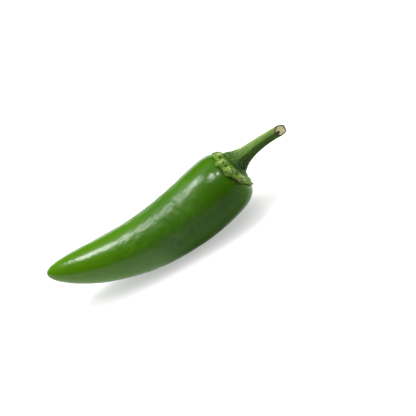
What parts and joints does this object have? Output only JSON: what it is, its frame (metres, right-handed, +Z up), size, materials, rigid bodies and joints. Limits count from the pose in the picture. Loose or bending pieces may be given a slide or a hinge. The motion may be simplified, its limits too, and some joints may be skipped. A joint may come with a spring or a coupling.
{
  "type": "chilli pepper",
  "caption": "Green chilli pepper: a bent, glossy bullet-shaped pod with a crinkled calyx and a ridged, cut stem, lying on its belly.",
  "frame": {"origin": "middle of the bounding box, at the bottom, on the surface that the pepper lies on", "axes": "+X from the tip towards the stem, +Z up with the pepper lying on its belly"},
  "size_m": [0.1088, 0.0266, 0.0277],
  "materials": {
    "green_skin": "smooth, waxy, glossy green skin",
    "calyx_green": "crinkled yellow-green leaf with brown tips",
    "stem_green": "ridged green stalk, satin, pale pith at the cut"
  },
  "bodies": {
    "root": {"pod": "green_skin", "calyx": "calyx_green", "stem": "stem_green"}
  },
  "joints": []
}
